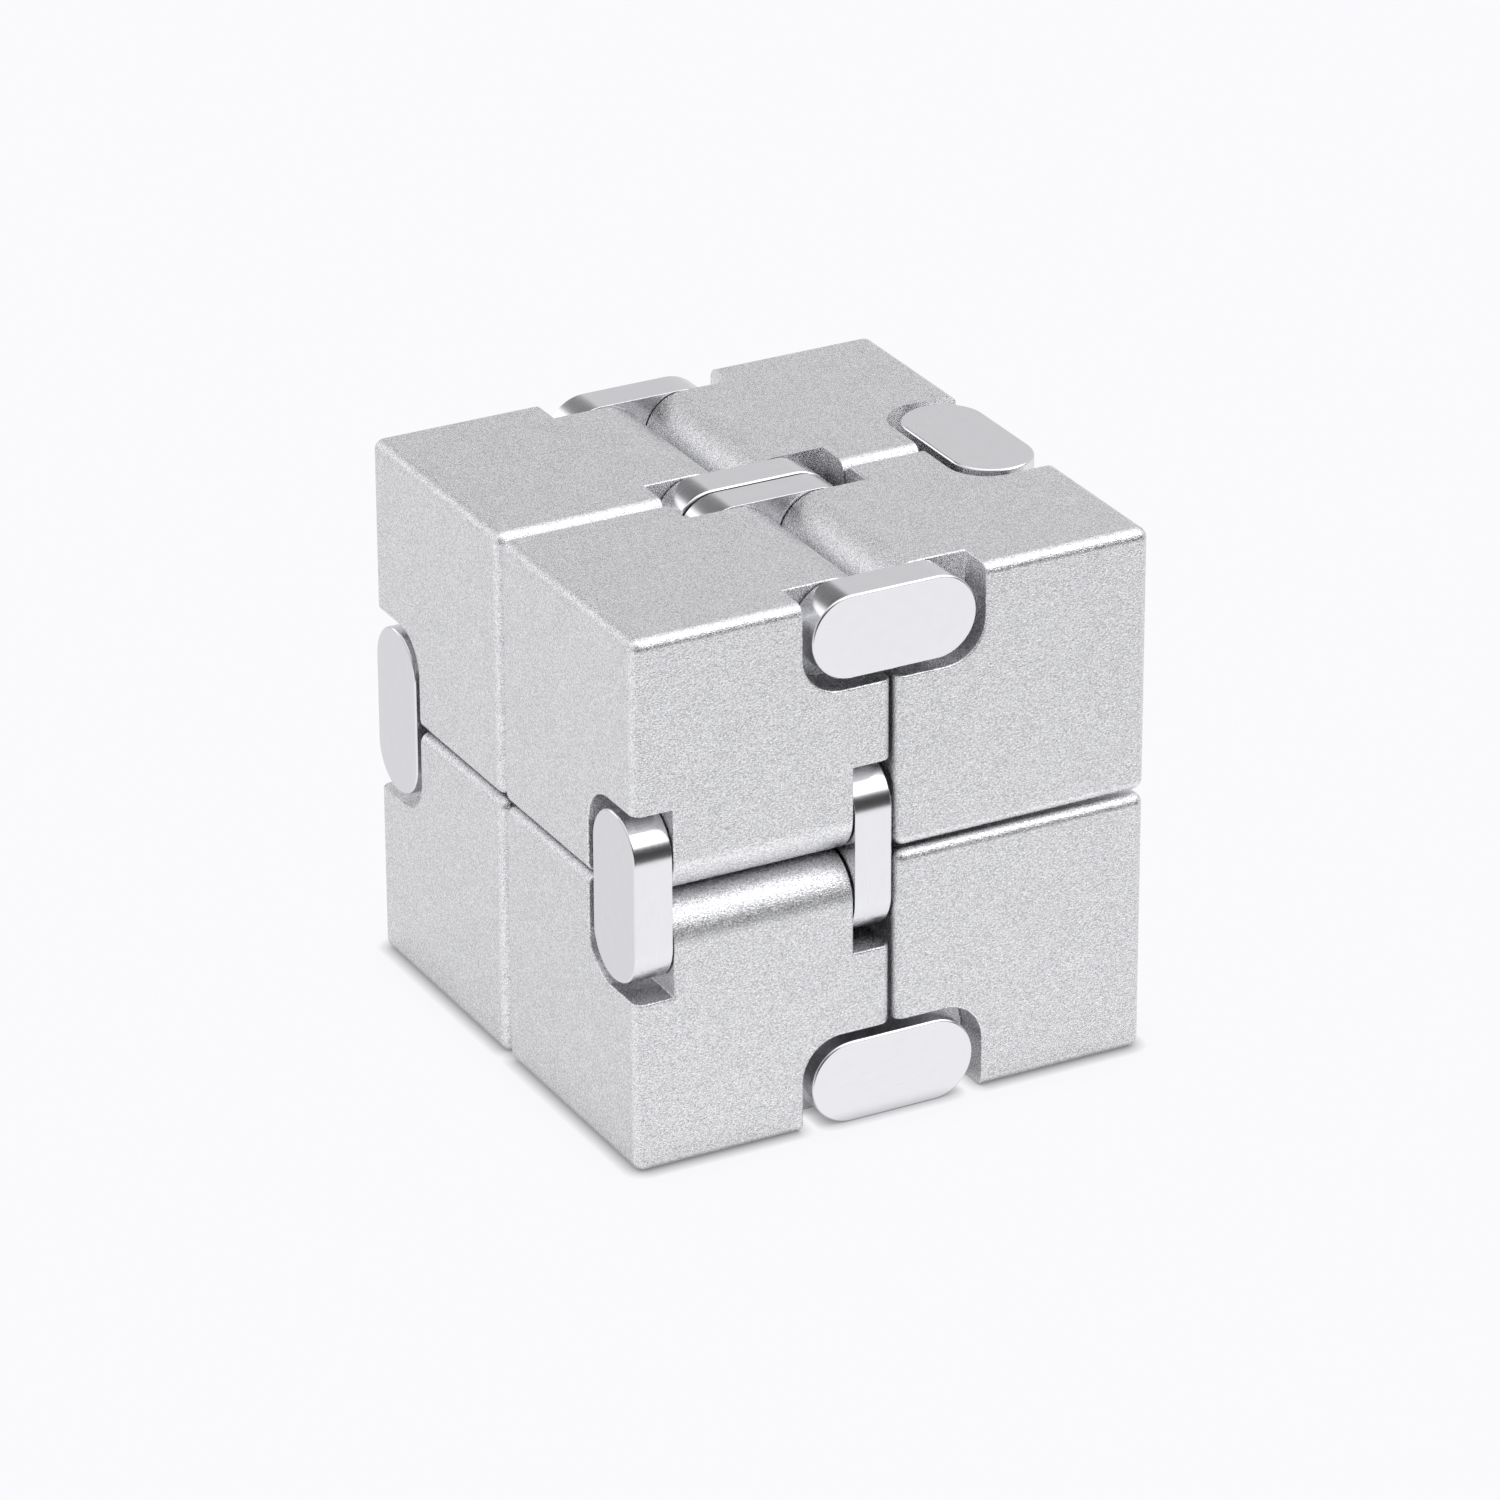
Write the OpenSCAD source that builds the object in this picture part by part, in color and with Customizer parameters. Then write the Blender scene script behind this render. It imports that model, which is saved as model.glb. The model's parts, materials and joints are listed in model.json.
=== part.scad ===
// Folding fidget cube: eight machined aluminium cubes in a 2 x 2 x 2 block, joined into one closed
// chain by eight double-pivot hinges. Each hinge is two link plates and two long pins.
// The block stands on z = 0, centred on the Z axis, with its front towards -Y.

/* [Cubes] */
// Side of one small cube
cube_side = 19.85; // [18:0.05:24]
// Gap between neighbouring cubes
seam = 0.3; // [0.2:0.05:0.5]
// Radius of the rounded outer edges of a small cube
edge_radius = 0.8; // [0.3:0.1:1.2]

/* [Hinge pins] */
// Distance from a pin's centre line to the two cube faces beside it
pin_inset = 3.1; // [2.8:0.1:3.6]
// Diameter of a pin
pin_diameter = 2.5; // [1.6:0.1:3]
// Radial clearance between a pin and its bore in the cube
pin_clearance = 0.05; // [0.02:0.01:0.08]
// Chamfer on the ends of a pin
pin_chamfer = 0.2; // [0.1:0.05:0.4]

/* [Hinge links] */
// Thickness of a link plate
link_thickness = 2.9; // [2.4:0.1:3.4]
// Chamfer round the visible face of a link plate
link_chamfer = 0.12; // [0.1:0.02:0.3]
// Depth of the blind holes that the pins are pressed into
link_hole_depth = 2; // [1.2:0.1:2.2]

/* [Link pockets] */
// Clearance between a link and the walls of its pocket
pocket_clearance = 0.7; // [0.3:0.05:0.9]
// Radius of the corner of a pocket
pocket_corner = 3.0; // [2:0.1:3.4]
// Gap between the back of a link and the floor of its pocket
pocket_floor_gap = 0.1; // [0.05:0.05:0.3]

/* [Hidden] */
$fn = 96;
// Extra reach of a cutting shape past the surface that it opens
margin = 1;
// Space left between a pin's end and the bottom of its blind hole
pin_end_gap = 0.1;

pitch = cube_side + seam;
overall = pitch + cube_side;
pin_radius = pin_diameter / 2;
// Distance from the middle of a hinge to each of its two pins
pin_offset = seam / 2 + pin_inset;
pin_length = cube_side - 2 * (link_thickness - link_hole_depth + pin_end_gap);
// Distance from a pin's centre line to the walls of the pocket
pocket_reach = pin_inset + pocket_clearance;
pocket_depth = link_thickness + pocket_floor_gap;

cube_colour = [0.80, 0.81, 0.83];
link_colour = [0.90, 0.90, 0.92];
pin_colour = [0.55, 0.56, 0.58];

// Name of each small cube, and the side of the block that it is on along X, Y and Z
CUBES = [
    ["front_top_left", [-1, -1, 1]],
    ["front_top_right", [1, -1, 1]],
    ["back_top_right", [1, 1, 1]],
    ["back_top_left", [-1, 1, 1]],
    ["back_bottom_left", [-1, 1, -1]],
    ["back_bottom_right", [1, 1, -1]],
    ["front_bottom_right", [1, -1, -1]],
    ["front_bottom_left", [-1, -1, -1]]
];

// Name of each hinge, the way out of the face that it lies in, the way along its pins from the outside
// of the block to its middle, and the names of its two pins
HINGES = [
    ["top_front", [0, 0, 1], [0, 1, 0], ["left", "right"]],
    ["top_back", [0, 0, 1], [0, -1, 0], ["right", "left"]],
    ["bottom_front", [0, 0, -1], [0, 1, 0], ["right", "left"]],
    ["bottom_back", [0, 0, -1], [0, -1, 0], ["left", "right"]],
    ["right_top", [1, 0, 0], [0, 0, -1], ["back", "front"]],
    ["right_bottom", [1, 0, 0], [0, 0, 1], ["front", "back"]],
    ["front_left", [0, -1, 0], [1, 0, 0], ["upper", "lower"]],
    ["back_left", [0, 1, 0], [1, 0, 0], ["lower", "upper"]]
];

function cube_name(c) = str(c[0], "_cube");
function link_name(h, end) = str(h[0], "_hinge_", end, "_link");
function pin_name(h, i) = str(h[0], "_hinge_", h[3][i], "_pin");

// A hinge joins the two cubes that lie on its face of the block, at the outside end of its pins
function joins(h, c) = h[1] * c[1] > 0 && h[2] * c[1] < 0;

// Beyond the back left hinge the next two cubes have no hinge, and roll past each other as the block
// folds back. Their edges are rounded as a hinge's are
function rolls(h, c) = h[0] == "back_left" && h[1] * c[1] > 0 && h[2] * c[1] > 0;

// Square with rounded corners, centred
module rounded_square() {
    corner = cube_side / 2 - edge_radius;
    square([cube_side, 2 * corner], center = true);
    square([2 * corner, cube_side], center = true);
    for (x = [-corner, corner], y = [-corner, corner])
        translate([x, y]) circle(edge_radius);
}

// Cube with rounded edges and corners: a rounded bar along each axis, and a ball in each corner
module rounded_cube() {
    corner = cube_side / 2 - edge_radius;
    for (turn = [[0, 0, 0], [90, 0, 0], [0, 90, 0]])
        rotate(turn) linear_extrude(2 * corner, center = true) rounded_square();
    for (x = [-corner, corner], y = [-corner, corner], z = [-corner, corner])
        translate([x, y, z]) sphere(edge_radius);
}

// Places a hinge. In its own frame the pins run along Y with the outside end at -Y, the links reach
// across the seam along X, and Z points out of the face that the hinge lies in
module at_hinge(h) {
    out = h[1];
    along = h[2];
    across = cross(along, out);
    middle = out * overall / 2 - along * pitch / 2 + [0, 0, overall / 2];
    multmatrix([for (i = [0 : 2]) [across[i], along[i], out[i], middle[i]]]) children();
}

// Extrudes an outline drawn in X and Z along Y, from y = 0 towards -Y
module extrude_back(depth) {
    rotate([90, 0, 0]) linear_extrude(depth) children();
}

// Section of the pocket that a link turns in, on one side of the seam
module pocket_outline() {
    corner_x = pin_offset + pocket_reach - pocket_corner;
    corner_z = pocket_corner - pin_inset - pocket_reach;
    translate([-margin, corner_z]) square([margin + corner_x + pocket_corner, margin - corner_z]);
    translate([-margin, corner_z - pocket_corner])
        square([margin + corner_x, margin - corner_z + pocket_corner]);
    translate([corner_x, corner_z]) circle(pocket_corner);
}

// Section of what is cut away to round the cube's edge about the pin
module edge_outline() {
    difference() {
        translate([0, -pin_inset]) square([pin_offset, pin_inset + margin]);
        translate([pin_offset, -pin_inset]) circle(pin_inset);
    }
}

// What rounds one edge of a cube about the line of the pins
module edge_cut() {
    translate([0, cube_side / 2, 0]) extrude_back(cube_side) edge_outline();
}

// What one hinge takes out of the cube on one side of its seam
module hinge_cut() {
    half = cube_side / 2;
    translate([0, -half + pocket_depth, 0]) extrude_back(pocket_depth + margin) pocket_outline();
    translate([0, half + margin, 0]) extrude_back(pocket_depth + margin) pocket_outline();
    edge_cut();
    translate([pin_offset, 0, -pin_inset]) rotate([90, 0, 0])
        cylinder(h = cube_side, r = pin_radius + pin_clearance, center = true);
}

// Places what a hinge takes out of one of its cubes, on that cube's side of the seam
module beside_seam(h, c) {
    side = cross(h[2], h[1]) * c[1];
    at_hinge(h) mirror([side < 0 ? 1 : 0, 0, 0]) children();
}

// One small cube, with the cuts for its two hinges
module small_cube(c) {
    color(cube_colour) difference() {
        translate(c[1] * pitch / 2 + [0, 0, overall / 2]) rounded_cube();
        for (h = HINGES) {
            if (joins(h, c)) beside_seam(h, c) hinge_cut();
            if (rolls(h, c)) beside_seam(h, c) translate([0, pitch, 0]) edge_cut();
        }
    }
}

// Round-ended outline of a link, reduced all round by inset
module link_outline(inset) {
    square([2 * pin_offset, 2 * (pin_inset - inset)], center = true);
    for (x = [-pin_offset, pin_offset])
        translate([x, 0]) circle(pin_inset - inset);
}

// Link plate with its visible face at y = 0 and its back, with the two blind holes, towards +Y
module link_plate() {
    rotate([-90, 0, 0]) difference() {
        union() {
            translate([0, 0, link_chamfer])
                linear_extrude(link_thickness - link_chamfer) link_outline(0);
            for (x = [-pin_offset, pin_offset]) translate([x, 0, 0])
                cylinder(h = link_chamfer, r1 = pin_inset - link_chamfer, r2 = pin_inset);
            rotate([90, 0, 90]) linear_extrude(2 * pin_offset, center = true) polygon([
                [link_chamfer - pin_inset, 0], [pin_inset - link_chamfer, 0],
                [pin_inset, link_chamfer], [-pin_inset, link_chamfer]
            ]);
        }
        for (x = [-pin_offset, pin_offset])
            translate([x, 0, link_thickness - link_hole_depth])
                cylinder(h = link_hole_depth + margin, r = pin_radius);
    }
}

// Link at the outside end of a hinge, flush with the cubes' outside faces
module outer_link(h) {
    color(link_colour) at_hinge(h)
        translate([0, -cube_side / 2, -pin_inset]) link_plate();
}

// Link at the middle of the block
module inner_link(h) {
    color(link_colour) at_hinge(h)
        translate([0, cube_side / 2, -pin_inset]) mirror([0, 1, 0]) link_plate();
}

// Hinge pin, pressed into both links and free to turn in its cube
module hinge_pin(h, i) {
    end = pin_length / 2;
    color(pin_colour) at_hinge(h)
        translate([(2 * i - 1) * pin_offset, 0, -pin_inset]) rotate([90, 0, 0])
            rotate_extrude() polygon([
                [0, -end], [pin_radius - pin_chamfer, -end], [pin_radius, pin_chamfer - end],
                [pin_radius, end - pin_chamfer], [pin_radius - pin_chamfer, end], [0, end]
            ]);
}

for (c = CUBES)
    small_cube(c);
for (h = HINGES) {
    outer_link(h);
    inner_link(h);
    for (i = [0, 1])
        hinge_pin(h, i);
}
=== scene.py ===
import json
import math

import bmesh
import bpy
from mathutils import Matrix, Vector


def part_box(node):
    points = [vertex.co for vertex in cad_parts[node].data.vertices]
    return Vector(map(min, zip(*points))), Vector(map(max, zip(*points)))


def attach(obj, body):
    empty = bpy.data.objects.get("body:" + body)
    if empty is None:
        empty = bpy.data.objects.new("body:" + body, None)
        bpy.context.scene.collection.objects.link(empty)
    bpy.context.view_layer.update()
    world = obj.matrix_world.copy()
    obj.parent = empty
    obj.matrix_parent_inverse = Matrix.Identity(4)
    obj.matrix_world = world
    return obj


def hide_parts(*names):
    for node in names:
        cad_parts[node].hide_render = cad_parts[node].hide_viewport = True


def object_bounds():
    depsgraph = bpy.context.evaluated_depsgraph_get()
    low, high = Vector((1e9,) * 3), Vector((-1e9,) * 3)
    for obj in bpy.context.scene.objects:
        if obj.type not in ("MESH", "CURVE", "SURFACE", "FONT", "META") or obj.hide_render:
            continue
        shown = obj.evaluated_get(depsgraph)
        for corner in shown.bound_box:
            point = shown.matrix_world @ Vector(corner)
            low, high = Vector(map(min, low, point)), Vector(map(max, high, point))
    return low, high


# The folding fidget cube's looks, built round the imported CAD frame. Mesh work is in millimetres and
# each finished mesh is scaled to metres, because the fine bevels are too small for metres.

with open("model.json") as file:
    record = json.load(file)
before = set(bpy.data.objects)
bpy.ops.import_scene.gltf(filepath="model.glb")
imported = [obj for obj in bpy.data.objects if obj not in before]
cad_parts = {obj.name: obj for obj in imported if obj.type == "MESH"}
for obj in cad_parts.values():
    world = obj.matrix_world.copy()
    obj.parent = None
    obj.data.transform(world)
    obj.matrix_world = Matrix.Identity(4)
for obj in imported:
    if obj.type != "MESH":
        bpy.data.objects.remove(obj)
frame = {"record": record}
cad_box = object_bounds()

MM = 0.001

# Sizes that a node's box doesn't give, in millimetres, the same as in the CAD design
EDGE_RADIUS = 0.8
POCKET_CLEARANCE = 0.7
POCKET_CORNER = 3.0
POCKET_FLOOR_GAP = 0.1
PIN_CLEARANCE = 0.05
LINK_CHAMFER = 0.12
LINK_HOLE_DEPTH = 2.0
PIN_CHAMFER = 0.2

# How far a cutting shape reaches past the surface that it opens
CUT_MARGIN = 1.0

# Fineness of the round stretches
FILLET_SEGMENTS = 10
ARC_SEGMENTS = 40
BORE_SEGMENTS = 64
FLOOR_SEGMENTS = 96

# The fine bevel on a cube's cut edges, and the least angle between two faces that makes an edge sharp
RIM_BEVEL = 0.15
RIM_SEGMENTS = 2
SHARP_DEG = 28

# Width of the softening at a link's corners, and how far in the middle of it stands, as a share of it
LINK_SOFTENING = 0.05
CHAMFER_SHARE = 0.35
BACK_SHARE = 0.3

# Points closer than this are one point, and edges shorter than this go
WELD = 0.002
PIN_WELD = 0.001
SHORTEST_EDGE = 0.001

# How strongly a normal follows the larger faces beside it, from 1 to 100
NORMAL_WEIGHT = 60

# Cubes beyond a hinge whose edges along its line are rounded too, to roll past each other
ROLLING = ("back_top_right", "back_bottom_right")
ROLLING_HINGE = "back_left_hinge"

# Material slots of a small cube's mesh and of a link's
# The milled slot's dark colour is painted shade for the pockets and bores
BLASTED, MILLED_PAINTED_SHADE, RIM = 0, 1, 2
LINK_FACE, LINK_RIM, LINK_BAND = 0, 1, 2


# ---------------------------------------------------------------- where things are

def box_mm(node):
    """A CAD node's lowest and highest corner, in millimetres."""
    low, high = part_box(node)
    return low / MM, high / MM


def middle_mm(node):
    """The middle of a CAD node's box, in millimetres."""
    low, high = box_mm(node)
    return (low + high) / 2


def unit(vector):
    """The row axis that a vector runs along."""
    axis = max(range(3), key=lambda i: abs(vector[i]))
    return Vector([math.copysign(1, vector[i]) if i == axis else 0 for i in range(3)])


class Hinge:
    """One hinge's own frame and sizes. X runs across the seam, Y along the pins from the outside of the
    block to its middle, and Z out of the face; the origin is midway between the pins."""

    def __init__(self, body, nodes):
        self.body = body
        self.outer, self.inner = nodes[0], nodes[1]
        self.pins = nodes[2:]
        first, second = (middle_mm(p) for p in self.pins)
        self.middle = (first + second) / 2
        block_middle = (cad_box[0] + cad_box[1]) / 2 / MM
        self.along = unit(middle_mm(self.inner) - middle_mm(self.outer))
        away = self.middle - block_middle
        across = unit(second - first)
        side = self.along.cross(across)
        self.out = side if side.dot(away) > 0 else -side
        self.across = self.along.cross(self.out)
        self.offset = (second - first).length / 2
        low, high = box_mm(self.outer)
        sizes = high - low
        self.thickness = abs(sizes.dot(self.along))
        self.inset = abs(sizes.dot(self.out)) / 2
        low, high = box_mm(self.pins[0])
        self.pin_radius = abs((high - low).dot(self.out)) / 2
        self.pin_length = abs((high - low).dot(self.along))
        ends = [middle_mm(n).dot(self.along) for n in (self.outer, self.inner)]
        self.half = (ends[1] - ends[0] + self.thickness) / 2
        self.matrix = Matrix((
            (self.across.x, self.along.x, self.out.x, self.middle.x),
            (self.across.y, self.along.y, self.out.y, self.middle.y),
            (self.across.z, self.along.z, self.out.z, self.middle.z),
            (0, 0, 0, 1),
        ))


bodies = frame["record"]["behaviour"]["bodies"]
HINGES = [Hinge(body, nodes) for body, nodes in bodies.items() if len(nodes) > 1]
CUBES = {body: nodes[0] for body, nodes in bodies.items() if len(nodes) == 1}


# ---------------------------------------------------------------- meshes

def arc(x, z, radius, start_deg, end_deg, segments=ARC_SEGMENTS):
    """Points of an arc, both ends included."""
    turns = [math.radians(start_deg + (end_deg - start_deg) * i / segments) for i in range(segments + 1)]
    return [(x + radius * math.cos(t), z + radius * math.sin(t)) for t in turns]


def pocket_outline(hinge):
    """Section of the pocket that a link turns in, on the +X side of the seam."""
    reach, top = hinge.inset + POCKET_CLEARANCE, hinge.inset + CUT_MARGIN
    wall, corner = hinge.offset + reach, POCKET_CORNER
    points = arc(wall - corner, corner - reach, corner, -90, 0)
    return points + [(wall, top), (-CUT_MARGIN, top), (-CUT_MARGIN, -reach)]


def edge_outline(hinge):
    """Section of what rounds the cube's edge about the pin, on the +X side of the seam."""
    top = hinge.inset + CUT_MARGIN
    points = arc(hinge.offset, 0, hinge.inset, 180, 90)
    return points + [(hinge.offset, top), (0, top), (0, 0)]


def bore_outline(hinge):
    """Section of the bore that a pin turns in, on the +X side of the seam."""
    return arc(hinge.offset, 0, hinge.pin_radius + PIN_CLEARANCE, 0, 360, BORE_SEGMENTS)[:-1]


def prism(outline, low, high, matrix, side, slot):
    """A solid with its outline in X and Z and its length along Y, mirrored in X if side is -1."""
    bm = bmesh.new()
    ends = [[bm.verts.new(matrix @ Vector((side * x, y, z))) for x, z in outline] for y in (low, high)]
    bm.faces.new(ends[0])
    bm.faces.new(ends[1][::-1])
    for i in range(len(outline)):
        j = (i + 1) % len(outline)
        bm.faces.new((ends[0][i], ends[1][i], ends[1][j], ends[0][j]))
    bmesh.ops.recalc_face_normals(bm, faces=bm.faces)
    for face in bm.faces:
        face.material_index = slot
    return finished(bm, "cutter")


def finished(bm, name):
    """The mesh that a working mesh holds."""
    mesh = bpy.data.meshes.new(name)
    bm.to_mesh(mesh)
    bm.free()
    return mesh


def rounded_box(low, high):
    """A box with every edge and corner rounded."""
    bm = bmesh.new()
    bmesh.ops.create_cube(bm, size=1)
    bmesh.ops.transform(bm, verts=bm.verts, matrix=Matrix.Diagonal((*(high - low), 1)))
    bmesh.ops.translate(bm, verts=bm.verts, vec=(low + high) / 2)
    bmesh.ops.bevel(
        bm, geom=list(bm.edges), offset=EDGE_RADIUS, offset_type="OFFSET", segments=FILLET_SEGMENTS,
        profile=0.5, affect="EDGES",
    )
    return finished(bm, "rounded_box")


def cut(mesh, cutters):
    """The mesh less each cutter. Faces made by a cutter keep the cutter's slot number."""
    scratch = bpy.data.objects.new("scratch", mesh)
    bpy.context.scene.collection.objects.link(scratch)
    tools = []
    for cutter in cutters:
        tool = bpy.data.objects.new("tool", cutter)
        bpy.context.scene.collection.objects.link(tool)
        tools.append(tool)
        modifier = scratch.modifiers.new("cut", "BOOLEAN")
        modifier.operation = "DIFFERENCE"
        modifier.solver = "EXACT"
        modifier.material_mode = "INDEX"
        modifier.object = tool
    view = bpy.context.evaluated_depsgraph_get()
    result = bpy.data.meshes.new_from_object(scratch.evaluated_get(view))
    for thing in [scratch, *tools]:
        data = thing.data
        bpy.data.objects.remove(thing)
        bpy.data.meshes.remove(data)
    return result


def break_edges(mesh):
    """Takes a fine bevel off every sharp edge, and puts the new faces in the rim's slot."""
    bm = bmesh.new()
    bm.from_mesh(mesh)
    bmesh.ops.remove_doubles(bm, verts=bm.verts, dist=WELD)
    bmesh.ops.dissolve_degenerate(bm, edges=bm.edges, dist=SHORTEST_EDGE)
    sharp = [
        e for e in bm.edges
        if len(e.link_faces) == 2 and e.calc_face_angle(0) > math.radians(SHARP_DEG)
    ]
    made = bmesh.ops.bevel(
        bm, geom=sharp, offset=RIM_BEVEL, offset_type="OFFSET", segments=RIM_SEGMENTS, profile=0.5,
        affect="EDGES", clamp_overlap=True, material=-1,
    )
    for face in made["faces"]:
        face.material_index = RIM
    for face in bm.faces:
        face.smooth = True
    return finished(bm, mesh.name)


def piece(name, mesh, materials, matrix=None):
    """An object in metres, with normals weighted by face area so that flats stay flat."""
    mesh.name = name
    mesh.transform(Matrix.Scale(MM, 4))
    mesh.materials.clear()
    for material in materials:
        mesh.materials.append(material)
    made = bpy.data.objects.new(name, mesh)
    bpy.context.scene.collection.objects.link(made)
    if matrix:
        placed = matrix.copy()
        placed.translation = matrix.translation * MM
        made.matrix_world = placed
    normals = made.modifiers.new("normals", "WEIGHTED_NORMAL")
    normals.mode = "FACE_AREA"
    normals.weight = NORMAL_WEIGHT
    return made


def small_cube(body, node):
    """One small cube, cut for its two hinges."""
    low, high = box_mm(node)
    centre = (low + high) / 2
    cutters = []
    for hinge in HINGES:
        side = math.copysign(1, (centre - hinge.middle).dot(hinge.across))
        if body in ROLLING and hinge.body == ROLLING_HINGE:
            # From the hinge's inner end to past the far side of the cube beyond it
            near, beyond = hinge.half, 4 * hinge.half
            cutters.append(prism(edge_outline(hinge), near, beyond, hinge.matrix, side, BLASTED))
        inside = [p for p in hinge.pins if all(low[i] < middle_mm(p)[i] < high[i] for i in range(3))]
        if not inside:
            continue
        depth = hinge.thickness + POCKET_FLOOR_GAP
        floor, end, mid = hinge.half - depth, hinge.half + CUT_MARGIN, hinge.half - depth / 2
        pocket = pocket_outline(hinge)
        # The pocket and bore walls take the milled slot, whose dark colour is painted shade
        cutters += [
            prism(pocket, -end, -floor, hinge.matrix, side, MILLED_PAINTED_SHADE),
            prism(pocket, floor, end, hinge.matrix, side, MILLED_PAINTED_SHADE),
            prism(edge_outline(hinge), -mid, mid, hinge.matrix, side, BLASTED),
            prism(bore_outline(hinge), -mid, mid, hinge.matrix, side, MILLED_PAINTED_SHADE),
        ]
    mesh = break_edges(cut(rounded_box(low, high), cutters))
    made = piece(body + "_block", mesh, [blasted, milled_painted_shade, rim])
    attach(made, body)
    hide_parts(node)


def stadium(hinge, inset):
    """Round-ended outline of a link, reduced all round by inset."""
    radius = hinge.inset - inset
    return arc(hinge.offset, 0, radius, -90, 90) + arc(-hinge.offset, 0, radius, 90, 270)


def link_mesh(hinge):
    """A link plate with its chamfered face at y = 0 and its back towards +Y, as rings of points from face
    to back, each with its y and its inset. Its UVs are in millimetres: length and width on the two flats,
    perimeter and thickness round the rim."""
    soft = LINK_SOFTENING
    near = soft * CHAMFER_SHARE
    back = soft * BACK_SHARE
    rings = [
        (0, LINK_CHAMFER + soft / 2), (near, LINK_CHAMFER - near),
        (LINK_CHAMFER - near, near), (LINK_CHAMFER + soft / 2, 0),
        (hinge.thickness - soft, 0), (hinge.thickness - back, back), (hinge.thickness, soft),
    ]
    # The chamfer lies between the second ring and the third
    chamfer_ring = 1
    bm = bmesh.new()
    uv = bm.loops.layers.uv.new("grain")
    loops = [[bm.verts.new((x, y, z)) for x, z in stadium(hinge, inset)] for y, inset in rings]
    count = len(loops[0])
    outline = stadium(hinge, 0)
    travel = [0]
    for i in range(count):
        (x0, z0), (x1, z1) = outline[i], outline[(i + 1) % count]
        travel.append(travel[-1] + math.hypot(x1 - x0, z1 - z0))
    for k in range(len(rings) - 1):
        for i in range(count):
            j = (i + 1) % count
            face = bm.faces.new((loops[k][i], loops[k][j], loops[k + 1][j], loops[k + 1][i]))
            face.material_index = LINK_BAND if k == chamfer_ring else LINK_RIM
            places = ((travel[i], k), (travel[i + 1], k), (travel[i + 1], k + 1), (travel[i], k + 1))
            for loop, (s, ring) in zip(face.loops, places):
                loop[uv].uv = (s, rings[ring][0])
    for ring in (loops[0][::-1], loops[-1]):
        face = bm.faces.new(ring)
        face.material_index = LINK_FACE
        for loop in face.loops:
            loop[uv].uv = (loop.vert.co.x, loop.vert.co.z)
    bmesh.ops.recalc_face_normals(bm, faces=bm.faces)
    for face in bm.faces:
        face.smooth = True
    return finished(bm, "link")


def link_piece(hinge, node, outside):
    """One link, with its blind holes, at the outside end of a hinge or at the block's middle."""
    depth = hinge.thickness - LINK_HOLE_DEPTH
    holes = [
        prism(
            arc(side * hinge.offset, 0, hinge.pin_radius, 0, 360, BORE_SEGMENTS)[:-1],
            depth, hinge.thickness + CUT_MARGIN, Matrix.Identity(4), 1, LINK_RIM,
        )
        for side in (-1, 1)
    ]
    mesh = cut(link_mesh(hinge), holes)
    for face in mesh.polygons:
        face.use_smooth = True
    if outside:
        place = hinge.matrix @ Matrix.Translation((0, -hinge.half, 0))
    else:
        place = hinge.matrix @ Matrix.Translation((0, hinge.half, 0)) @ Matrix.Rotation(math.pi, 4, "Z")
    made = piece(node.replace("_link", "_plate"), mesh, [ground_face, drawn_rim, bright_chamfer], place)
    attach(made, hinge.body)
    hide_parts(node)


def pin_piece(hinge, node):
    """A hinge pin, turned about its own length."""
    half = hinge.pin_length / 2
    radius = hinge.pin_radius
    profile = [
        (0, -half), (radius - PIN_CHAMFER, -half), (radius, PIN_CHAMFER - half),
        (radius, half - PIN_CHAMFER), (radius - PIN_CHAMFER, half), (0, half),
    ]
    bm = bmesh.new()
    verts = [bm.verts.new((r, y, 0)) for r, y in profile]
    edges = [bm.edges.new(pair) for pair in zip(verts, verts[1:])]
    bmesh.ops.spin(
        bm, geom=verts + edges, axis=(0, 1, 0), cent=(0, 0, 0), angle=2 * math.pi, steps=BORE_SEGMENTS,
        use_merge=True,
    )
    bmesh.ops.remove_doubles(bm, verts=bm.verts, dist=PIN_WELD)
    bmesh.ops.recalc_face_normals(bm, faces=bm.faces)
    for face in bm.faces:
        face.smooth = True
    place = hinge.matrix.copy()
    place.translation = middle_mm(node)
    made = piece(node.replace("_pin", "_rod"), finished(bm, "rod"), [ground_steel], place)
    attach(made, hinge.body)
    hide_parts(node)


# ---------------------------------------------------------------- materials

class Nodes:
    """Short names for making shader nodes and joining them."""

    def __init__(self, tree):
        self.tree = tree

    def add(self, kind, inputs=None, **settings):
        """A new node. Each input is a socket to join to it or a plain value."""
        node = self.tree.nodes.new("ShaderNode" + kind)
        for key, value in settings.items():
            setattr(node, key, value)
        for key, value in (inputs or {}).items():
            if isinstance(value, bpy.types.NodeSocket):
                self.tree.links.new(value, node.inputs[key])
            else:
                node.inputs[key].default_value = value
        return node

    def noise(self, vector, scale, detail, roughness):
        """Noise from 0 to 1."""
        inputs = {"Vector": vector, "Scale": scale, "Detail": detail, "Roughness": roughness}
        return self.add("TexNoise", inputs).outputs["Fac"]

    def span(self, value, low, high, from_low=0.0, from_high=1.0):
        """value, moved from one range to another and held inside it."""
        inputs = {
            "Value": value, "From Min": from_low, "From Max": from_high, "To Min": low, "To Max": high,
        }
        return self.add("MapRange", inputs).outputs["Result"]

    def math(self, operation, a, b):
        """Two numbers put together."""
        return self.add("Math", {0: a, 1: b}, operation=operation).outputs[0]

    def tint(self, colour, value):
        """A colour times a number."""
        inputs = {0: 1.0, 6: (*colour, 1), 7: value}
        mixed = self.add("Mix", inputs, data_type="RGBA", blend_type="MULTIPLY")
        return mixed.outputs[2]


# Most of a noise's values lie between these
NOISE_MIDDLE = (0.3, 0.7)

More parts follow.
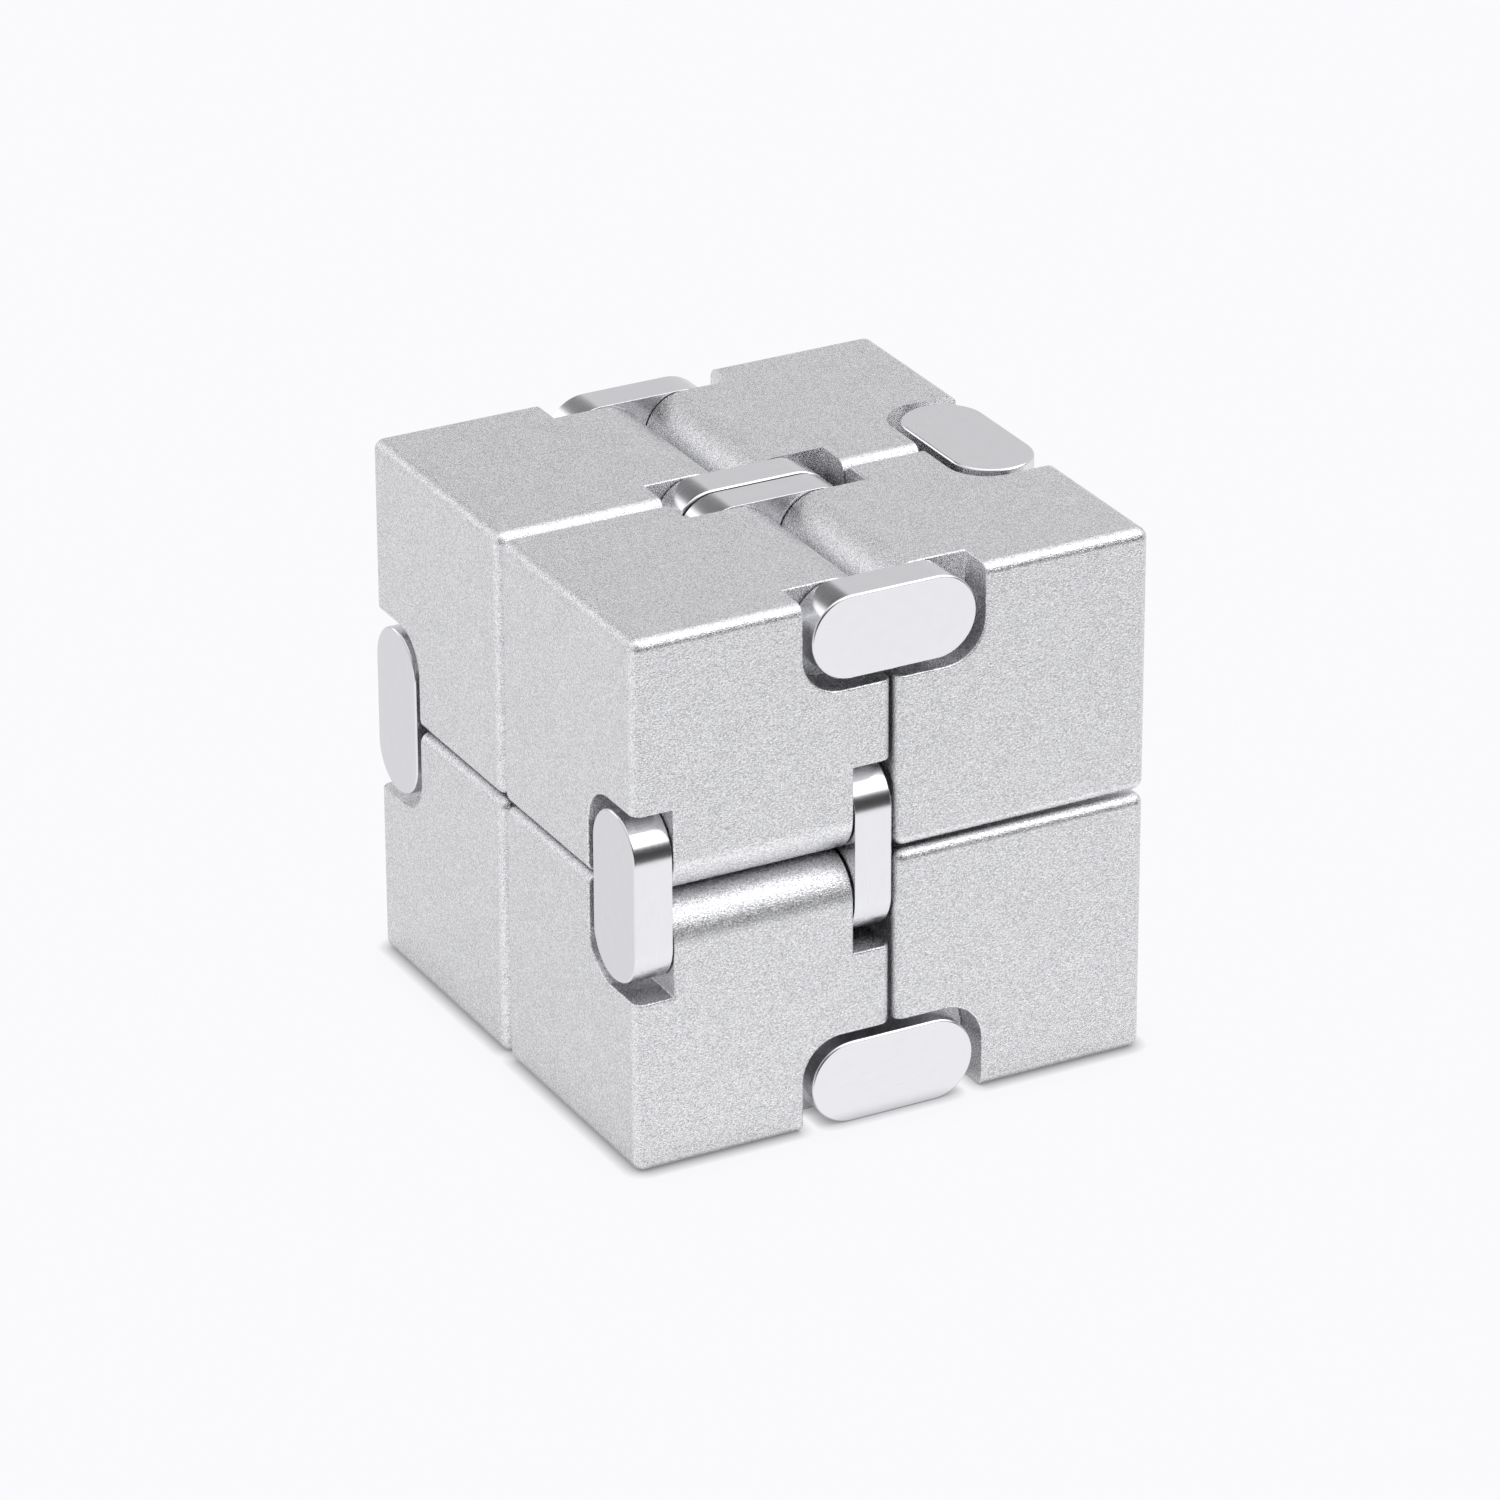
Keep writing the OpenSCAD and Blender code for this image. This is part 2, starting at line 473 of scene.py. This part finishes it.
# Blasted metal. The fine noise's size in grains, detail and roughness, and how much the dimples count
# beside it; the cloudiness's scale to the millimetre, detail and roughness, and what it does to the shade
# and the roughness; how far a dimple's own roughness goes either way
FINE_NOISE = (0.8, 3.0, 0.7)
DIMPLE_SHARE = 0.6
CLOUD_NOISE = (0.35, 3.0, 0.55)
CLOUD_SHADE = (0.975, 1.025)
CLOUD_ROUGHNESS = (-0.02, 0.02)
DIMPLE_ROUGHNESS = 0.08

# Lined metal. The detail and roughness of the lines, the range of their values that counts, and what they do
# to the shade and the roughness; the scale to the millimetre, detail, roughness and shade of the waviness
LINE_NOISE = (4.0, 0.65)
LINE_RANGE = (0.25, 0.75)
LINE_SHADE = (0.93, 1.04)
LINE_ROUGHNESS = (-0.04, 0.05)
WAVE_NOISE = (0.9, 2.0, 0.5)
WAVE_SHADE = (0.98, 1.02)


def metal(name, colour):
    """A metal material, its node helper and its shader."""
    material = bpy.data.materials.new(name)
    material.use_nodes = True
    nodes = Nodes(material.node_tree)
    shader = material.node_tree.nodes["Principled BSDF"]
    shader.inputs["Metallic"].default_value = 1.0
    shader.inputs["Base Color"].default_value = (*colour, 1)
    material.diffuse_color = (*colour, 1)
    return material, nodes, shader


def object_mm(nodes):
    """Object coordinates in millimetres, which stay with the piece as it moves."""
    place = nodes.add("TexCoord").outputs["Object"]
    return nodes.add("VectorMath", {0: place, "Scale": 1 / MM}, operation="SCALE").outputs[0]


def blasted_metal(name, colour, grain, height, rough, painted_glint):
    """Bead-blasted, clear anodised aluminium: dimples of one grain size and relief height in millimetres,
    each with its own roughness and a painted glint, its own shade up to the given share off the colour, over
    a faint cloudiness."""
    material, nodes, shader = metal(name, colour)
    place = object_mm(nodes)
    dimples = nodes.add("TexVoronoi", {"Vector": place, "Scale": 1 / grain, "Randomness": 1.0})
    size, *texture = FINE_NOISE
    fine = nodes.noise(place, size / grain, *texture)
    relief = nodes.math("ADD", nodes.math("MULTIPLY", dimples.outputs["Distance"], DIMPLE_SHARE), fine)
    bump = nodes.add("Bump", {"Strength": 1.0, "Distance": height * MM, "Height": relief})
    cloud = nodes.noise(place, *CLOUD_NOISE)
    cell = nodes.add("SeparateColor", {0: dimples.outputs["Color"]}).outputs
    # Painted glints: each dimple's own shade stands in for the light glinting off its facet
    painted_glint_shade = nodes.span(cell[0], 1 - painted_glint, 1 + painted_glint)
    shade = nodes.math("MULTIPLY", painted_glint_shade, nodes.span(cloud, *CLOUD_SHADE, *NOISE_MIDDLE))
    own_roughness = nodes.span(cell[1], rough - DIMPLE_ROUGHNESS, rough + DIMPLE_ROUGHNESS)
    roughness = nodes.math("ADD", own_roughness, nodes.span(cloud, *CLOUD_ROUGHNESS, *NOISE_MIDDLE))
    links = nodes.tree.links
    links.new(nodes.tint(colour, shade), shader.inputs["Base Color"])
    links.new(roughness, shader.inputs["Roughness"])
    links.new(bump.outputs[0], shader.inputs["Normal"])
    return material


def lined_metal(name, colour, stretch, height, rough, uv=True):
    """Machined metal: fine straight tool lines of one relief height in millimetres, with a little waviness.
    stretch is how many lines there are to a millimetre along each coordinate."""
    material, nodes, shader = metal(name, colour)
    place = nodes.add("UVMap", uv_map="grain").outputs[0] if uv else object_mm(nodes)
    lined = nodes.add("VectorMath", {0: place, 1: stretch}, operation="MULTIPLY").outputs[0]
    lines = nodes.noise(lined, 1.0, *LINE_NOISE)
    wave = nodes.noise(place, *WAVE_NOISE)
    relief = nodes.math("ADD", lines, wave)
    bump = nodes.add("Bump", {"Strength": 1.0, "Distance": height * MM, "Height": relief})
    line_shade = nodes.span(lines, *LINE_SHADE, *LINE_RANGE)
    shade = nodes.math("MULTIPLY", line_shade, nodes.span(wave, *WAVE_SHADE))
    smoother, rougher = LINE_ROUGHNESS
    roughness = nodes.span(lines, rough + smoother, rough + rougher, *NOISE_MIDDLE)
    links = nodes.tree.links
    links.new(nodes.tint(colour, shade), shader.inputs["Base Color"])
    links.new(roughness, shader.inputs["Roughness"])
    links.new(bump.outputs[0], shader.inputs["Normal"])
    return material


# The blasted metals below carry painted glints, a shade of their own on each dimple
blasted = blasted_metal(
    "blasted_aluminium", (0.85, 0.85, 0.87), grain=0.075, height=0.028, rough=0.23, painted_glint=0.30,
)
# Pocket and bore walls: milled aluminium painted dark, as painted shade in the recesses
milled_painted_shade = blasted_metal(
    "pocket_aluminium_painted_shade", (0.36, 0.36, 0.38), grain=0.08, height=0.005, rough=0.24, painted_glint=0.12,
)
rim = blasted_metal(
    "broken_edge_aluminium", (0.92, 0.92, 0.94), grain=0.09, height=0.010, rough=0.22, painted_glint=0.15,
)
ground_face = lined_metal(
    "link_face_aluminium", (0.83, 0.83, 0.85), stretch=(0.7, 16.0, 1.0), height=0.0010, rough=0.22,
)
drawn_rim = lined_metal(
    "link_rim_aluminium", (0.90, 0.90, 0.92), stretch=(16.0, 0.6, 1.0), height=0.0003, rough=0.10,
)
bright_chamfer = lined_metal(
    "link_chamfer_aluminium", (0.90, 0.90, 0.92), stretch=(9.0, 1.0, 1.0), height=0.0010, rough=0.14,
)
ground_steel = lined_metal(
    "pin_steel", (0.56, 0.57, 0.59), stretch=(1.0, 22.0, 1.0), height=0.0012, rough=0.22, uv=False,
)


# ---------------------------------------------------------------- studio

CENTRE = (cad_box[0] + cad_box[1]) / 2

# The camera's place round the block, in degrees and metres, its lens and sensor in millimetres, and how near
# and how far it sees in metres
CAMERA_AZIMUTH = -28.016
CAMERA_ELEVATION = 25.362
CAMERA_ROLL = -0.238
CAMERA_DISTANCE = 0.5394
CAMERA_PAN = (-0.000444, -0.000530)
CAMERA_LENS = 183.57
CAMERA_SENSOR = 36
CAMERA_CLIP = (0.01, 50)

# What the camera sees behind the block, and the tint of the light
BACKGROUND = (0.962, 0.957, 0.985)
ROOM_COLOUR = (0.985, 0.985, 1.0)

# Brightness of the table, the backdrop and the ceiling in the metal
TABLE_FRONT, TABLE_BACK = 1.06, 0.82
BACKDROP, CEILING = 0.72, 1.35

# Where they change, by how far a direction points, from -1 to 1: back along Y from the table's front to its
# back, up along Z from the backdrop to the ceiling, and up along Z either side of the horizon
TABLE_SPAN = (-0.8, 0.9)
CEILING_SPAN = (0.70, 0.90)
HORIZON_SPAN = (-0.04, 0.04)

# Azimuth, elevation, width, height and softness in degrees of each dark stretch of the room, with how much
# light it keeps
DARK_PLACES = (
    ((10, 6.5, 130, 39, 5), 0.05),
    ((-18, 30, 60, 26, 5), 0.10),
    ((181, 40, 42, 17, 4), 0.12),
    ((214, -1, 44, 12, 6), 0.60),
)

# The same of each softbox, with how much light it adds
SOFTBOXES = (
    ((44, 41, 58, 28, 5), 1.8),
    ((212, 20, 30, 20, 6), 0.85),
)

# How far a direction has to point towards either kind of place, from 0 to 1, before the place counts in full
FACING = 0.1

# The tabletop's radius in metres. Then the reach in metres and the depth of each shadow that a cube casts
# on it where it stands, as the camera and as the metal sees them, and the rays that find a shadow
FLOOR_RADIUS = 6
SEEN_SHADOWS = ((0.0010, 0.80), (0.005, 0.06))
MIRRORED_SHADOWS = ((0.0015, 0.90),)
SHADOW_RAYS = 8


def around(azimuth, elevation):
    """The direction from the block to a place round it. Azimuth 0 is in front, at -Y, and 90 at +X."""
    a, e = math.radians(azimuth), math.radians(elevation)
    return Vector((math.sin(a) * math.cos(e), -math.cos(a) * math.cos(e), math.sin(e)))


def make_camera():
    """The camera, aimed at the block's middle and shifted by CAMERA_PAN."""
    back = around(CAMERA_AZIMUTH, CAMERA_ELEVATION)
    level = (-back).cross(Vector((0, 0, 1))).normalized()
    roll = Matrix.Rotation(math.radians(CAMERA_ROLL), 3, back)
    right = roll @ level
    up = roll @ level.cross(-back)
    data = bpy.data.cameras.new("camera")
    data.sensor_width = CAMERA_SENSOR
    data.lens = CAMERA_LENS
    data.clip_start, data.clip_end = CAMERA_CLIP
    camera = bpy.data.objects.new("camera", data)
    bpy.context.scene.collection.objects.link(camera)
    place = CENTRE + right * CAMERA_PAN[0] + up * CAMERA_PAN[1] + back * CAMERA_DISTANCE
    camera.matrix_world = Matrix((
        (right.x, up.x, back.x, place.x),
        (right.y, up.y, back.y, place.y),
        (right.z, up.z, back.z, place.z),
        (0, 0, 0, 1),
    ))
    bpy.context.scene.camera = camera


def make_floor():
    """A see-through tabletop, as bright as what is behind it, so that only the contact shadows show. Where a
    fold swings a cube below it, the cube can still be seen."""
    bm = bmesh.new()
    bmesh.ops.create_circle(bm, cap_ends=True, segments=FLOOR_SEGMENTS, radius=FLOOR_RADIUS)
    floor = bpy.data.objects.new("floor", finished(bm, "floor"))
    bpy.context.scene.collection.objects.link(floor)
    material = bpy.data.materials.new("white_table")
    material.use_nodes = True
    tree = material.node_tree
    tree.nodes.clear()
    nodes = Nodes(tree)

    def shade(shadows):
        """The light that these shadows leave."""
        light = 1.0
        for reach, depth in shadows:
            sky = nodes.add("AmbientOcclusion", {"Distance": reach}, samples=SHADOW_RAYS).outputs["AO"]
            light = nodes.math("MULTIPLY", nodes.span(sky, 1 - depth, 1.0), light)
        return light

    seen = nodes.add("LightPath").outputs["Is Camera Ray"]
    light = nodes.add("Mix", {0: seen, 2: shade(MIRRORED_SHADOWS), 3: shade(SEEN_SHADOWS)}).outputs[0]
    clear = nodes.add("BsdfTransparent", {"Color": nodes.tint((1, 1, 1), light)})
    output = nodes.add("OutputMaterial", {"Surface": clear.outputs[0]})
    output.is_active_output = True
    floor.data.materials.append(material)


def make_room():
    """The light that the metal reflects: a white table below the horizon, a grey backdrop and a bright
    ceiling above it, the dark places and the softboxes. The camera sees an even background."""
    world = bpy.data.worlds.new("room")
    bpy.context.scene.world = world
    world.use_nodes = True
    nodes = Nodes(world.node_tree)
    way = nodes.add("TexCoord").outputs["Generated"]
    parts = nodes.add("SeparateXYZ", {0: way}).outputs
    back, height = parts["Y"], parts["Z"]

    def ramp(value, start, end, low, high):
        """low up to start, high from end on, and a smooth change between them."""
        inputs = {"Value": value, "From Min": start, "From Max": end, "To Min": low, "To Max": high}
        return nodes.add("MapRange", inputs, interpolation_type="SMOOTHSTEP").outputs["Result"]

    def towards(axis):
        """How far a direction points along an axis, from -1 to 1."""
        inputs = {0: way, 1: tuple(axis)}
        return nodes.add("VectorMath", inputs, operation="DOT_PRODUCT").outputs["Value"]

    def window(azimuth, elevation, wide, high, soft):
        """1 inside a rectangle of sky that many degrees across and high, falling to 0 over soft degrees."""
        middle = around(azimuth, elevation)
        side = Vector((0, 0, 1)).cross(middle).normalized()
        top = middle.cross(side)
        inside = None
        for axis, reach in ((side, wide / 2), (top, high / 2)):
            off = nodes.math("ABSOLUTE", towards(axis), 0)
            near, far = (math.sin(math.radians(reach + s)) for s in (-soft / 2, soft / 2))
            edge = ramp(off, near, far, 1.0, 0.0)
            inside = nodes.math("MULTIPLY", inside, edge) if inside else edge
        return nodes.math("MULTIPLY", inside, ramp(towards(middle), 0.0, FACING, 0.0, 1.0))

    table = ramp(back, *TABLE_SPAN, TABLE_FRONT, TABLE_BACK)
    walls = ramp(height, *CEILING_SPAN, BACKDROP, CEILING)
    above = ramp(height, *HORIZON_SPAN, 0.0, 1.0)
    light = nodes.add("Mix", {0: above, 2: table, 3: walls}).outputs[0]
    for place, level in DARK_PLACES:
        light = nodes.math("MULTIPLY", light, nodes.span(window(*place), 1.0, level))
    for place, level in SOFTBOXES:
        light = nodes.math("ADD", light, nodes.math("MULTIPLY", window(*place), level))
    lit = nodes.tint(ROOM_COLOUR, light)
    seen = nodes.add("LightPath").outputs["Is Camera Ray"]
    colour = nodes.add("Mix", {0: seen, 6: lit, 7: (*BACKGROUND, 1)}, data_type="RGBA").outputs[2]
    world.node_tree.links.new(colour, world.node_tree.nodes["Background"].inputs["Color"])


bpy.context.scene.view_settings.view_transform = "Standard"
make_camera()
make_floor()
make_room()

for body, node in CUBES.items():
    small_cube(body, node)
for hinge in HINGES:
    link_piece(hinge, hinge.outer, True)
    link_piece(hinge, hinge.inner, False)
    for pin in hinge.pins:
        pin_piece(hinge, pin)
